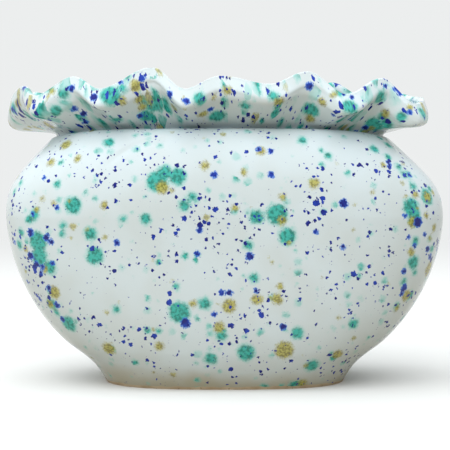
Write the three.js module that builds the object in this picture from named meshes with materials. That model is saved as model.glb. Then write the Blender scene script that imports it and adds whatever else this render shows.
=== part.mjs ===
// Pillow planter with a ruffled collar: a wide, flattened, glazed pot that stands on
// a low oval foot, with a narrow oval mouth under a fluted rim.
// Millimetres, +Z up, the front faces -Y and the long side runs along X.
// The origin is at floor level, in the middle of the rectangle that the pot covers.

import * as THREE from 'three';

// ---------------------------------------------------------------------------
// Driving dimensions
// ---------------------------------------------------------------------------

// Foot: a low ring, narrower at the floor than at its top
const footWidth = 151;
const footDepth = 96;
const footHeight = 14;
const endFootFlare = 10; // the top edge stands this far outside the standing edge
const frontFootFlare = 8;
const standingWidth = 8; // width of the flat face on the floor
const floorLedge = 4.5; // width of the step that carries the floor slab

// Belly: the widest level of the body
const bellyWidth = 276;
const bellyDepth = 131;
const bellyHeight = 105;

// Seam: the flat ring on which the collar sits
const neckWidth = 208;
const neckDepth = 66;
const neckHeight = 155;
const seamLedge = 1; // the flat ring shows this much outside the collar

// Shoulder: front and back roll up a little above the seam, the ends stay below it
const frontRollWidth = 9;
const frontRollRise = 4.4;
const endRollWidth = 3.5;
const endRollRise = -1.4;

// Side outline: how far each curve keeps straight on from the belly, the foot and the
// shoulder, and its slope from level at the foot and the shoulder, in degrees
const endBellyDrop = 14;
const endFootRun = 54;
const endFootSlope = 32;
const endBellyLift = 21;
const endShoulderRun = 31;
const endShoulderSlope = 46.5;
const frontBellyDrop = 42;
const frontFootRun = 16;
const frontFootSlope = 60;
const frontBellyLift = 34;
const frontShoulderRun = 13;
const frontShoulderSlope = 4;

// Clay thicknesses
const bodyWall = 6;
const endWallFoot = 14; // level width of the slanting wall's lower edge
const frontWallFoot = 8;
const shoulderWall = 8; // the shoulder is thicker where it carries the collar
const throatDepth = 6; // height of the clay under the seam
const collarWall = 5;
const floorThickness = 8;
const drainHole = 12;
const jointGap = 0.4; // level gap between the floor slab and the wall

// Collar: a short upright neck, a flare that is shallow at the ends and steeper at the
// front, and a lip that turns up from its corner and leans in. The bend at the corner
// takes this much of both its sides.
const endUpright = 1.5;
const endReach = 31;
const endRise = 7.5;
const endLip = 13.5;
const endLipLean = 3.5;
const endTurn = 10;
const frontUpright = 4;
const frontReach = 32.5;
const frontRise = 14;
const frontLip = 10.5;
const frontLipLean = 6;
const frontTurn = 4.5;
const insideTurnShare = 0.5; // the bend inside is tighter than the one outside
const lipCrown = 1.8; // the rounded edge stands this far above the lip's sides

// Ruffle: the crests and valleys of the lip, in turn from the right end round by the
// back. Each has its place, in percent of the way round, and its height in mm.
const ruffle = [
  [2, 2], [6, 4.5], [9, -3], [12.5, 8], [16, -3], [20, 6.5], [24, -4], [28, 4],
  [32, -4], [36, 5], [40, -4], [45.5, 4], [48, -4], [54, 6], [57.5, -3], [61, 7],
  [64, -1.5], [69, 11.5], [72, -2], [75.5, 6], [80, 1], [84, 9], [87, -4.5], [92, 7.5],
  [94, -6.5], [98.5, 0.5],
];
const crestBreadth = 0.92; // 1 makes crests and valleys alike, less makes crests broader
const foldStart = 1.4; // power by which the folds grow from the seam to the corner
const cornerFold = 1.15; // share of a crest's height by which it lifts the corner
const cornerPull = 1; // and by which it draws the corner inwards
const lipPull = 0.75; // and by which it draws the lip's edge inwards

// Roundness of the outlines: 2 is an ellipse, more is fuller, less is flatter
const footSquareness = 2.7;
const bellySquareness = 3.2;
const neckSquareness = 2.6;
const lipSquareness = 2.5;
const endFocus = 4; // power that keeps the ends' own heights close to the ends

// The hand-made pot stands straight up to a level, bends there and then leans to the left
const leanStart = 113;
const leanBend = 10; // half the height of the bend
const handLean = 0.072; // this much per millimetre of height

// Fineness of the surfaces
const bodySegments = 96;
const collarSegments = 144;
const lowerSteps = 7;
const shoulderSteps = 6;
const rollSteps = 2;
const flareSteps = 5;
const bendSteps = 2;
const lipSteps = 2;
const leastStep = 1; // no inner ring of the wall lies closer above the slab's top

// ---------------------------------------------------------------------------
// Lofting of closed oval rings
// ---------------------------------------------------------------------------

// A ring is one oval of the pot. Its height may differ between the ends and the
// front. The ruffle lifts it by one share of the ruffle's height and draws it
// inwards by another.
function ring(halfWidth, halfDepth, endHeight, frontHeight, squareness, folds = 0, pulls = 0) {
  return { halfWidth, halfDepth, endHeight, frontHeight, squareness, folds, pulls };
}

function levelRing(halfWidth, halfDepth, height, squareness) {
  return ring(halfWidth, halfDepth, height, height, squareness);
}

// A circle's points lie evenly round it, whatever oval it is lofted to.
function circleRing(radius, height) {
  return { ...levelRing(radius, radius, height, 2), isCircle: true };
}

// Signed power, which turns a circle into an oval with fuller corners.
function rounded(value, power) {
  return Math.sign(value) * Math.abs(value) ** power;
}

function ovalPoint(halfWidth, halfDepth, squareness, angle) {
  const power = 2 / squareness;
  return new THREE.Vector2(
    halfWidth * rounded(Math.cos(angle), power),
    halfDepth * rounded(Math.sin(angle), power),
  );
}

// Angles that divide an oval into equal lengths, anticlockwise from its right end.
function evenAngles(count, halfWidth, halfDepth, squareness) {
  const samples = 2000;
  const quarter = Math.PI / 2;
  const lengths = [0];
  let last = ovalPoint(halfWidth, halfDepth, squareness, 0);
  for (let i = 1; i <= samples; i += 1) {
    const next = ovalPoint(halfWidth, halfDepth, squareness, (quarter * i) / samples);
    lengths.push(lengths[i - 1] + next.distanceTo(last));
    last = next;
  }
  const angleInQuarter = (share) => {
    const target = share * lengths[samples];
    let i = 1;
    while (i < samples && lengths[i] < target) i += 1;
    const step = (target - lengths[i - 1]) / (lengths[i] - lengths[i - 1]);
    return (quarter * (i - 1 + step)) / samples;
  };
  return Array.from({ length: count }, (_, i) => {
    const turn = (4 * i) / count;
    const quadrant = Math.floor(turn);
    const share = turn - quadrant;
    const mirrored = quadrant % 2 === 1;
    const inQuarter = mirrored ? quarter - angleInQuarter(1 - share) : angleInQuarter(share);
    return quadrant * quarter + inQuarter;
  });
}

// Height of the ruffle, in mm, at a share of the way round the collar.
function foldHeight(share) {
  const place = 100 * share;
  const count = ruffle.length;
  const next = ruffle.findIndex(([at]) => at > place);
  const after = next < 0 ? 0 : next;
  const [fromPlace, fromHeight] = ruffle[(after + count - 1) % count];
  const [toPlace, toHeight] = ruffle[after];
  const between = (place - fromPlace + 100) % 100;
  const blend = (1 - Math.cos((Math.PI * between) / ((toPlace - fromPlace + 100) % 100))) / 2;
  const broad = toHeight > fromHeight ? blend ** crestBreadth : 1 - (1 - blend) ** crestBreadth;
  return THREE.MathUtils.lerp(fromHeight, toHeight, broad);
}

// Distance that the hand-made pot leans to the left at a height.
function leanAt(height) {
  const above = height - leanStart;
  return (handLean * (above + Math.hypot(above, leanBend))) / 2;
}

function ringPoint(shape, ovalAngle, share) {
  const { halfWidth, halfDepth, squareness } = shape;
  const angle = shape.isCircle ? 2 * Math.PI * share : ovalAngle;
  const plan = ovalPoint(halfWidth, halfDepth, squareness, angle);
  const outward = new THREE.Vector2(
    rounded(plan.x / halfWidth, squareness - 1) / halfWidth,
    rounded(plan.y / halfDepth, squareness - 1) / halfDepth,
  ).normalize();
  const frontShare = 1 - Math.cos(angle) ** endFocus;
  const fold = foldHeight(share);
  const level = THREE.MathUtils.lerp(shape.endHeight, shape.frontHeight, frontShare);
  const height = level + shape.folds * fold;
  plan.addScaledVector(outward, -shape.pulls * fold);
  return new THREE.Vector3(plan.x - leanAt(height), plan.y, height);
}

// One closed solid through a loop of rings: up the outside, down the inside.
function ringLoft(rings, angles) {
  const count = angles.length;
  const positions = [];
  for (const shape of rings) {
    angles.forEach((angle, i) => positions.push(...ringPoint(shape, angle, i / count)));
  }
  const indices = [];
  for (let level = 0; level < rings.length; level += 1) {
    const above = (level + 1) % rings.length;
    for (let i = 0; i < count; i += 1) {
      const j = (i + 1) % count;
      const a = level * count + i;
      const b = level * count + j;
      const c = above * count + j;
      const d = above * count + i;
      indices.push(a, b, c, a, c, d);
    }
  }
  const geometry = new THREE.BufferGeometry();
  geometry.setAttribute('position', new THREE.Float32BufferAttribute(positions, 3));
  geometry.setIndex(indices);
  geometry.computeVertexNormals();
  return geometry;
}

// ---------------------------------------------------------------------------
// Outlines of the body
// ---------------------------------------------------------------------------

// Curve from a lower edge out to the belly, steep at the belly.
function lowerOutline(edge, belly, bellyDrop, footRun, footSlope) {
  const slope = THREE.MathUtils.degToRad(footSlope);
  return new THREE.CubicBezierCurve(
    new THREE.Vector2(edge, footHeight),
    new THREE.Vector2(edge + footRun * Math.cos(slope), footHeight + footRun * Math.sin(slope)),
    new THREE.Vector2(belly, bellyHeight - bellyDrop),
    new THREE.Vector2(belly, bellyHeight),
  );
}

// Curve from the belly in to the top of the shoulder.
function upperOutline(belly, top, topHeight, bellyLift, shoulderRun, shoulderSlope) {
  const slope = THREE.MathUtils.degToRad(shoulderSlope);
  return new THREE.CubicBezierCurve(
    new THREE.Vector2(belly, bellyHeight),
    new THREE.Vector2(belly, bellyHeight + bellyLift),
    new THREE.Vector2(
      top + shoulderRun * Math.cos(slope),
      topHeight - shoulderRun * Math.sin(slope),
    ),
    new THREE.Vector2(top, topHeight),
  );
}

// Distance of a rising outline from the middle of the pot, at a height.
function reachAt(outline, height) {
  const halvings = 40;
  let low = 0;
  let high = 1;
  for (let i = 0; i < halvings; i += 1) {
    const middle = (low + high) / 2;
    if (outline.getPoint(middle).y < height) low = middle;
    else high = middle;
  }
  return outline.getPoint(high).x;
}

// Level rings from the foot up to the belly, for the wall's outside or inside.
function lowerRings(edgeWidth, edgeDepth, bellyHalfWidth, bellyHalfDepth, heights) {
  const endSide = lowerOutline(
    edgeWidth,
    bellyHalfWidth,
    endBellyDrop,
    endFootRun,
    endFootSlope,
  );
  const frontSide = lowerOutline(
    edgeDepth,
    bellyHalfDepth,
    frontBellyDrop,
    frontFootRun,
    frontFootSlope,
  );
  return heights.map((height) => {
    const up = (height - footHeight) / (bellyHeight - footHeight);
    const squareness = THREE.MathUtils.lerp(footSquareness, bellySquareness, up);
    return levelRing(reachAt(endSide, height), reachAt(frontSide, height), height, squareness);
  });
}

// Rings from above the belly to the top of the shoulder.
function shoulderRings(bellyHalfWidth, bellyHalfDepth, topWidth, topDepth, endTop, frontTop) {
  const endSide = upperOutline(
    bellyHalfWidth,
    topWidth,
    endTop,
    endBellyLift,
    endShoulderRun,
    endShoulderSlope,
  );
  const frontSide = upperOutline(
    bellyHalfDepth,
    topDepth,
    frontTop,
    frontBellyLift,
    frontShoulderRun,
    frontShoulderSlope,
  );
  return Array.from({ length: shoulderSteps }, (_, i) => {
    const share = (i + 1) / shoulderSteps;
    const end = endSide.getPointAt(share);
    const front = frontSide.getPointAt(share);
    const squareness = THREE.MathUtils.lerp(bellySquareness, neckSquareness, share);
    return ring(end.x, front.x, end.y, front.y, squareness);
  });
}

// Rings that roll from the top of the shoulder down to the flat seam.
function rollRings() {
  return Array.from({ length: rollSteps }, (_, i) => {
    const turn = (1 - (i + 1) / rollSteps) * (Math.PI / 2);
    const outwards = 1 - Math.cos(turn);
    const upwards = Math.sin(turn);
    return ring(
      neckWidth / 2 + seamLedge + (endRollWidth - seamLedge) * outwards,
      neckDepth / 2 + seamLedge + (frontRollWidth - seamLedge) * outwards,
      neckHeight + endRollRise * upwards,
      neckHeight + frontRollRise * upwards,
      neckSquareness,
    );
  });
}

// Edges that several pieces share
const footTopWidth = footWidth / 2 + endFootFlare;
const footTopDepth = footDepth / 2 + frontFootFlare;
const seatWidth = footTopWidth - endWallFoot;
const seatDepth = footTopDepth - frontWallFoot;
const innerBellyWidth = bellyWidth / 2 - bodyWall;
const innerBellyDepth = bellyDepth / 2 - bodyWall;
const mouthWidth = neckWidth / 2 - bodyWall;
const mouthDepth = neckDepth / 2 - bodyWall;
const floorTop = footHeight + floorThickness;
const bodyAngles = evenAngles(bodySegments, bellyWidth, bellyDepth, bellySquareness);

// ---------------------------------------------------------------------------
// Pieces
// ---------------------------------------------------------------------------

// The foot ring: flat underneath, flared outside, with a flat top for wall and floor.
function footRingGeometry() {
  const footRing = (halfWidth, halfDepth, height) =>
    levelRing(halfWidth, halfDepth, height, footSquareness);
  return ringLoft(
    [
      footRing(footWidth / 2, footDepth / 2, 0),
      footRing(footTopWidth, footTopDepth, footHeight),
      footRing(seatWidth - floorLedge, seatDepth - floorLedge, footHeight),
      footRing(footWidth / 2 - standingWidth, footDepth / 2 - standingWidth, 0),
    ],
    bodyAngles,
  );
}

// The floor slab: a bevelled oval that fits the wall's lower edge, with a drain hole.
function floorSlabGeometry() {
  const [seatRing, topRing] = lowerRings(
    seatWidth,
    seatDepth,
    innerBellyWidth,
    innerBellyDepth,
    [footHeight, floorTop],
  ).map((edge) => ({
    ...edge,
    halfWidth: edge.halfWidth - jointGap,
    halfDepth: edge.halfDepth - jointGap,
  }));
  return ringLoft(
    [seatRing, topRing, circleRing(drainHole / 2, floorTop), circleRing(drainHole / 2, footHeight)],
    bodyAngles,
  );
}

// The body: a hollow pillow, open at the floor and at the flat seam on top.
function bodyGeometry() {
  const stepHeight = (bellyHeight - footHeight) / lowerSteps;
  const outerHeights = Array.from({ length: lowerSteps + 1 }, (_, i) => footHeight + i * stepHeight);
  const innerHeights = outerHeights.filter((height) => height > floorTop + leastStep);
  const crestEnd = neckHeight + endRollRise;
  const crestFront = neckHeight + frontRollRise;
  const outside = [
    ...lowerRings(footTopWidth, footTopDepth, bellyWidth / 2, bellyDepth / 2, outerHeights),
    ...shoulderRings(
      bellyWidth / 2,
      bellyDepth / 2,
      neckWidth / 2 + endRollWidth,
      neckDepth / 2 + frontRollWidth,
      crestEnd,
      crestFront,
    ),
    ...rollRings(),
  ];
  const inside = [
    ...lowerRings(seatWidth, seatDepth, innerBellyWidth, innerBellyDepth, [
      footHeight,
      floorTop,
      ...innerHeights,
    ]),
    ...shoulderRings(
      innerBellyWidth,
      innerBellyDepth,
      neckWidth / 2 + endRollWidth - bodyWall,
      neckDepth / 2 + frontRollWidth - bodyWall,
      crestEnd - shoulderWall,
      crestFront - shoulderWall,
    ),
    levelRing(mouthWidth, mouthDepth, neckHeight - throatDepth, neckSquareness),
    levelRing(mouthWidth, mouthDepth, neckHeight, neckSquareness),
  ];
  return ringLoft([...outside, ...inside.reverse()], bodyAngles);
}

// The corner between two sides of an outline, moved to their left by a distance.
function offsetCorner(before, corner, after, distance) {
  const back = before.clone().sub(corner).normalize();
  const ahead = after.clone().sub(corner).normalize();
  const sine = ahead.cross(back);
  return back.add(ahead).multiplyScalar(distance / sine).add(corner);
}

// Corners of the collar's section from the seam up, on its outside and on its inside.
function collarCorners(neck, { upright, reach, rise, lip, lean }) {
  const seam = new THREE.Vector2(neck, neckHeight);
  const throat = new THREE.Vector2(neck, neckHeight + upright);
  const corner = new THREE.Vector2(neck + reach, throat.y + rise);
  const edge = new THREE.Vector2(corner.x - lean, corner.y + lip);
  const upLip = edge.clone().sub(corner).setLength(collarWall);
  const inside = [
    new THREE.Vector2(neck - bodyWall, neckHeight),
    offsetCorner(seam, throat, corner, collarWall),
    offsetCorner(throat, corner, edge, collarWall),
    new THREE.Vector2(edge.x - upLip.y, edge.y + upLip.x),
  ];
  return { outside: [seam, throat, corner, edge], inside };
}

// Points along a section: rounded at the throat, then a flare, a bend and a lip.
function collarOutline([seam, throat, corner, edge], upright, turn) {
  const longestShare = 0.9; // no bend takes more than this share of a side
  const towards = (from, to, distance) => {
    const reachable = Math.min(distance, longestShare * to.distanceTo(from));
    return to.clone().sub(from).setLength(reachable).add(from);
  };
  const flareStart = towards(throat, corner, upright);
  const turnStart = towards(corner, flareStart, turn);
  const turnEnd = towards(corner, edge, turn);
  const flare = new THREE.CurvePath();
  flare.add(new THREE.QuadraticBezierCurve(seam, throat, flareStart));
  flare.add(new THREE.LineCurve(flareStart, turnStart));
  const bend = new THREE.QuadraticBezierCurve(turnStart, corner, turnEnd);
  const lip = new THREE.LineCurve(turnEnd, edge);
  const divided = (curve, steps) =>
    Array.from({ length: steps }, (_, i) => curve.getPointAt((i + 1) / steps));
  return [
    seam,
    ...divided(flare, flareSteps),
    ...divided(bend, bendSteps),
    ...divided(lip, lipSteps),
  ];
}

// How much of the ruffle each point of a section takes: it grows up to the corner, and
// changes from there to the edge of the lip.
function foldShares(step) {
  const corner = flareSteps + bendSteps / 2;
  const flare = Math.min(step / corner, 1) ** foldStart;
  const lip = Math.max(step - corner, 0) / (bendSteps / 2 + lipSteps);
  return {
    folds: flare * cornerFold + lip * (1 - cornerFold),
    pulls: flare * cornerPull + lip * (lipPull - cornerPull),
  };
}

function collarGeometry() {
  const endSection = {
    upright: endUpright,
    reach: endReach,
    rise: endRise,
    lip: endLip,
    lean: endLipLean,
  };
  const frontSection = {
    upright: frontUpright,
    reach: frontReach,
    rise: frontRise,
    lip: frontLip,
    lean: frontLipLean,
  };
  const endCorners = collarCorners(neckWidth / 2, endSection);
  const frontCorners = collarCorners(neckDepth / 2, frontSection);
  const toRings = (endSide, frontSide) =>
    endSide.map((end, i) => {
      const front = frontSide[i];
      const share = i / (endSide.length - 1);
      const squareness = THREE.MathUtils.lerp(neckSquareness, lipSquareness, share);
      const { folds, pulls } = foldShares(i);
      return ring(end.x, front.x, end.y, front.y, squareness, folds, pulls);
    });
  const outside = toRings(
    collarOutline(endCorners.outside, endUpright, endTurn),
    collarOutline(frontCorners.outside, frontUpright, frontTurn),
  );
  const inside = toRings(
    collarOutline(endCorners.inside, endUpright + collarWall, endTurn * insideTurnShare),
    collarOutline(frontCorners.inside, frontUpright + collarWall, frontTurn * insideTurnShare),
  );
  const outerEdge = outside.at(-1);
  const innerEdge = inside.at(-1);
  const crown = ring(
    (outerEdge.halfWidth + innerEdge.halfWidth) / 2,
    (outerEdge.halfDepth + innerEdge.halfDepth) / 2,
    (outerEdge.endHeight + innerEdge.endHeight) / 2 + lipCrown,
    (outerEdge.frontHeight + innerEdge.frontHeight) / 2 + lipCrown,
    lipSquareness,
    outerEdge.folds,
    outerEdge.pulls,
  );
  const collarAngles = evenAngles(
    collarSegments,
    outerEdge.halfWidth,
    outerEdge.halfDepth,
    lipSquareness,
  );
  return ringLoft([...outside, crown, ...inside.reverse()], collarAngles);
}

// ---------------------------------------------------------------------------
// Assembly
// ---------------------------------------------------------------------------

const glaze = { color: 0xdfe3e3, roughness: 0.12, metalness: 0 };
const bareClay = { color: 0xd9cdb8, roughness: 0.85, metalness: 0 };

function piece(name, geometry, finish) {
  const mesh = new THREE.Mesh(geometry, new THREE.MeshStandardMaterial(finish));
  mesh.name = name;
  return mesh;
}

const planter = new THREE.Group();
planter.add(piece('foot_ring', footRingGeometry(), bareClay));
planter.add(piece('floor_slab', floorSlabGeometry(), bareClay));
planter.add(piece('body_shell', bodyGeometry(), glaze));
planter.add(piece('ruffled_collar', collarGeometry(), glaze));

// Stand the pot on the floor with its covered rectangle centred on the origin.
const covered = new THREE.Box3().setFromObject(planter);
planter.position.x = -(covered.min.x + covered.max.x) / 2;
planter.position.y = -(covered.min.y + covered.max.y) / 2;

export default planter;
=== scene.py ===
# Looks of a hand-built pillow planter: its body, foot, floor and fluted collar under a
# speckled gloss glaze. Each piece repeats the pot's sizes at a finer step than its solid.

import math

import bpy
import numpy as np
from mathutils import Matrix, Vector


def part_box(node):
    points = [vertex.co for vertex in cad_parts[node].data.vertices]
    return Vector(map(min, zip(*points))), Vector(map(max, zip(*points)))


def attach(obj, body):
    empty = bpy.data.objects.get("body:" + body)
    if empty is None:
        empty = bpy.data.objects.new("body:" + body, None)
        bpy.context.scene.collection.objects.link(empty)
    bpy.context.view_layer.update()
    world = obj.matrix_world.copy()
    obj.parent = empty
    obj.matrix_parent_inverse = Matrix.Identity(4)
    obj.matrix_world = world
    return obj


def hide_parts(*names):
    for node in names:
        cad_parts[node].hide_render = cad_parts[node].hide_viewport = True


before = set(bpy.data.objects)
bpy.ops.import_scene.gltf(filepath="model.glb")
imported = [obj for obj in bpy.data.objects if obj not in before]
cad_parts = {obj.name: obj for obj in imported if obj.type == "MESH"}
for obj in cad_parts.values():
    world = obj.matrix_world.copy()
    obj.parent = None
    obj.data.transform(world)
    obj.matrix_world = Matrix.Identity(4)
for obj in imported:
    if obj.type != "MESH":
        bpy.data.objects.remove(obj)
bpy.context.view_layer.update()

MM = 0.001

# ---- Sizes of the pot, in millimetres ----

FOOT_WIDTH, FOOT_DEPTH, FOOT_HEIGHT = 151, 96, 14
END_FOOT_FLARE, FRONT_FOOT_FLARE = 10, 8
STANDING_WIDTH, FLOOR_LEDGE = 8, 4.5
BELLY_WIDTH, BELLY_DEPTH, BELLY_HEIGHT = 276, 131, 105
NECK_WIDTH, NECK_DEPTH, NECK_HEIGHT = 208, 66, 155
SEAM_LEDGE = 1
FRONT_ROLL_WIDTH, FRONT_ROLL_RISE = 9, 4.4
END_ROLL_WIDTH, END_ROLL_RISE = 3.5, -1.4

# Side outlines of the body: the length of each curve's upright handle at the belly, and the
# length and the slope in degrees of its handle at the foot or at the neck
END_LOWER = {"drop": 14, "run": 54, "slope": 32}
FRONT_LOWER = {"drop": 42, "run": 16, "slope": 60}
END_UPPER = {"lift": 21, "run": 31, "slope": 46.5}
FRONT_UPPER = {"lift": 34, "run": 13, "slope": 4}

# Clay thicknesses
BODY_WALL, COLLAR_WALL, SHOULDER_WALL = 6, 5, 8
END_WALL_FOOT, FRONT_WALL_FOOT = 14, 8
THROAT_DEPTH = 6
FLOOR_THICKNESS, DRAIN_HOLE, JOINT_GAP = 8, 12, 0.4

# Side outlines of the collar at its ends and at its front
END_COLLAR = {"upright": 1.5, "reach": 31, "rise": 7.5, "lip": 13.5, "lean": 3.5, "turn": 10}
FRONT_COLLAR = {"upright": 4, "reach": 32.5, "rise": 14, "lip": 10.5, "lean": 6, "turn": 4.5}
INSIDE_TURN_SHARE = 0.5
LONGEST_SHARE = 0.9  # no bend takes more than this share of a side
LIP_CROWN = 1.8

# Crests and valleys of the lip: place in percent of the way round, height
RUFFLE = [
    (2, 2), (6, 4.5), (9, -3), (12.5, 8), (16, -3), (20, 6.5), (24, -4), (28, 4), (32, -4),
    (36, 5), (40, -4), (45.5, 4), (48, -4), (54, 6), (57.5, -3), (61, 7), (64, -1.5),
    (69, 11.5), (72, -2), (75.5, 6), (80, 1), (84, 9), (87, -4.5), (92, 7.5), (94, -6.5),
    (98.5, 0.5),
]

# Shape of the folds: below 1 broadens the crests, above 1 slows the start at the seam
CREST_BREADTH, FOLD_START = 0.92, 1.4

# Shares of a fold's height and of its pull inwards, at the collar's corner and at its lip
CORNER_FOLD, CORNER_PULL, LIP_PULL = 1.15, 1.0, 0.75

# Roundness of the ovals: 2 is an ellipse, more is fuller
FOOT_SQUARE, BELLY_SQUARE, NECK_SQUARE, LIP_SQUARE = 2.7, 3.2, 2.6, 2.5
END_FOCUS = 4  # power that keeps the ends' own heights close to the ends

# The hand-made pot leans to the left: from this height, over this bend, so far for each mm
LEAN_START, LEAN_BEND, HAND_LEAN = 113, 10, 0.072

UNEVENNESS = 0.4  # depth of the slow dips of the hand-built body

# Fineness of the surfaces, and of the curves that they are measured on
BODY_SEGMENTS, COLLAR_SEGMENTS, FLOOR_SEGMENTS = 512, 720, 256
FOOT_STEPS, LOWER_STEPS, SHOULDER_STEPS, ROLL_STEPS = 12, 70, 48, 8
INNER_LOWER_STEPS, INNER_SHOULDER_STEPS = 25, 18
BORE_STEPS, FLOOR_STEPS = 8, 16
FLARE_STEPS, BEND_STEPS, LIP_STEPS, CROWN_STEPS = 25, 10, 10, 9
COLLAR_STEPS = FLARE_STEPS + BEND_STEPS + LIP_STEPS
OVAL_POINTS, OUTLINE_POINTS, ARC_POINTS = 2001, 2000, 200
SMOOTH_ANGLE = 40

# ---- Ovals and lofts ----


def signed_power(value, power):
    return np.sign(value) * np.abs(value) ** power


def even_angles(count, half_width, half_depth, squareness):
    """Angles that divide an oval into equal lengths, anticlockwise from its right end."""
    quarter = np.linspace(0, math.pi / 2, OVAL_POINTS)
    x = half_width * np.cos(quarter) ** (2 / squareness)
    y = half_depth * np.sin(quarter) ** (2 / squareness)
    x[-1] = 0
    length = np.concatenate([[0], np.cumsum(np.hypot(np.diff(x), np.diff(y)))])
    turn = 4 * np.arange(count) / count
    rounding = 1e-12
    quadrant = np.floor(turn + rounding)
    share = turn - quadrant
    mirrored = quadrant % 2 == 1
    inside = np.interp(np.where(mirrored, 1 - share, share) * length[-1], length, quarter)
    return quadrant * math.pi / 2 + np.where(mirrored, math.pi / 2 - inside, inside)


def fold_height(share):
    """Height of the ruffle at a share of the way round."""
    places = np.array([place for place, _ in RUFFLE], float)
    heights = np.array([height for _, height in RUFFLE], float)
    places = np.concatenate([[places[-1] - 100], places, [places[0] + 100]])
    heights = np.concatenate([[heights[-1]], heights, [heights[0]]])
    place = 100 * share % 100
    before = np.clip(np.searchsorted(places, place, side="right") - 1, 0, len(places) - 2)
    between = (place - places[before]) / (places[before + 1] - places[before])
    eased = (1 - np.cos(math.pi * between)) / 2
    start, end = heights[before], heights[before + 1]
    broad = np.where(end > start, eased**CREST_BREADTH, 1 - (1 - eased) ** CREST_BREADTH)
    return start + (end - start) * broad


def lean_at(height):
    above = height - LEAN_START
    return HAND_LEAN * (above + np.hypot(above, LEAN_BEND)) / 2


def ring(half_width, half_depth, end_height, front_height, squareness, folds=0.0, pulls=0.0):
    return (half_width, half_depth, end_height, front_height, squareness, folds, pulls)


def level_ring(half_width, half_depth, height, squareness):
    return ring(half_width, half_depth, height, height, squareness)


def loft(rings, angles):
    """Points of a stack of rings: an array of rings by angles by x, y, z."""
    columns = np.moveaxis(np.array(rings, float)[:, None, :], 2, 0)
    half_width, half_depth, end_height, front_height, squareness, folds, pulls = columns
    share = np.arange(len(angles)) / len(angles)
    x = half_width * signed_power(np.cos(angles), 2 / squareness)
    y = half_depth * signed_power(np.sin(angles), 2 / squareness)
    out_x = signed_power(x / half_width, squareness - 1) / half_width
    out_y = signed_power(y / half_depth, squareness - 1) / half_depth
    length = np.hypot(out_x, out_y)
    front_share = 1 - np.cos(angles) ** END_FOCUS
    fold = fold_height(share)
    height = end_height + (front_height - end_height) * front_share + folds * fold
    x = x - pulls * fold * out_x / length - lean_at(height)
    y = y - pulls * fold * out_y / length
    return np.stack([x, y, height], axis=2)


def bezier(points):
    t = np.linspace(0, 1, OUTLINE_POINTS)[:, None]
    a, b, c, d = np.array(points, float)
    return (1 - t) ** 3 * a + 3 * t * (1 - t) ** 2 * b + 3 * t**2 * (1 - t) * c + t**3 * d


def along(points, shares):
    """Points at shares of the length of a line."""
    length = np.concatenate([[0], np.cumsum(np.hypot(*np.diff(points, axis=0).T))])
    places = np.asarray(shares) * length[-1]
    return np.stack([np.interp(places, length, points[:, i]) for i in (0, 1)], axis=1)


# ---- Outlines ----


def lower_outline(edge, belly, side):
    slope = math.radians(side["slope"])
    run = (edge + side["run"] * math.cos(slope), FOOT_HEIGHT + side["run"] * math.sin(slope))
    drop = (belly, BELLY_HEIGHT - side["drop"])
    return bezier([(edge, FOOT_HEIGHT), run, drop, (belly, BELLY_HEIGHT)])


def upper_outline(belly, top, top_height, side):
    slope = math.radians(side["slope"])
    run = (top + side["run"] * math.cos(slope), top_height - side["run"] * math.sin(slope))
    lift = (belly, BELLY_HEIGHT + side["lift"])
    return bezier([(belly, BELLY_HEIGHT), lift, run, (top, top_height)])


def lower_rings(edge_width, edge_depth, belly_width, belly_depth, heights):
    ends = lower_outline(edge_width, belly_width, END_LOWER)
    front = lower_outline(edge_depth, belly_depth, FRONT_LOWER)
    rings = []
    for height in heights:
        up = (height - FOOT_HEIGHT) / (BELLY_HEIGHT - FOOT_HEIGHT)
        reach = np.interp(height, ends[:, 1], ends[:, 0])
        depth = np.interp(height, front[:, 1], front[:, 0])
        square = FOOT_SQUARE + (BELLY_SQUARE - FOOT_SQUARE) * up
        rings.append(level_ring(reach, depth, height, square))
    return rings


def shoulder_rings(belly_width, belly_depth, top_width, top_depth, end_top, front_top, steps):
    shares = (np.arange(steps) + 1) / steps
    ends = along(upper_outline(belly_width, top_width, end_top, END_UPPER), shares)
    front = along(upper_outline(belly_depth, top_depth, front_top, FRONT_UPPER), shares)
    squares = BELLY_SQUARE + (NECK_SQUARE - BELLY_SQUARE) * shares
    return [
        ring(end[0], side[0], end[1], side[1], square)
        for end, side, square in zip(ends, front, squares)
    ]


def roll_rings():
    """Rings of the roll of clay from the shoulder's crest down to the seam."""
    rings = []
    for i in range(ROLL_STEPS):
        turn = (1 - (i + 1) / ROLL_STEPS) * math.pi / 2
        outwards = 1 - math.cos(turn)
        upwards = math.sin(turn)
        rings.append(
            ring(
                NECK_WIDTH / 2 + SEAM_LEDGE + (END_ROLL_WIDTH - SEAM_LEDGE) * outwards,
                NECK_DEPTH / 2 + SEAM_LEDGE + (FRONT_ROLL_WIDTH - SEAM_LEDGE) * outwards,
                NECK_HEIGHT + END_ROLL_RISE * upwards,
                NECK_HEIGHT + FRONT_ROLL_RISE * upwards,
                NECK_SQUARE,
            )
        )
    return rings


FOOT_TOP = (FOOT_WIDTH / 2 + END_FOOT_FLARE, FOOT_DEPTH / 2 + FRONT_FOOT_FLARE)
SEAT = (FOOT_TOP[0] - END_WALL_FOOT, FOOT_TOP[1] - FRONT_WALL_FOOT)
INNER_BELLY = (BELLY_WIDTH / 2 - BODY_WALL, BELLY_DEPTH / 2 - BODY_WALL)
MOUTH = (NECK_WIDTH / 2 - BODY_WALL, NECK_DEPTH / 2 - BODY_WALL)
FLOOR_TOP = FOOT_HEIGHT + FLOOR_THICKNESS
CREST_END = NECK_HEIGHT + END_ROLL_RISE
CREST_FRONT = NECK_HEIGHT + FRONT_ROLL_RISE

# ---- Body, foot and floor ----

body_angles = even_angles(BODY_SEGMENTS, BELLY_WIDTH, BELLY_DEPTH, BELLY_SQUARE)


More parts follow.
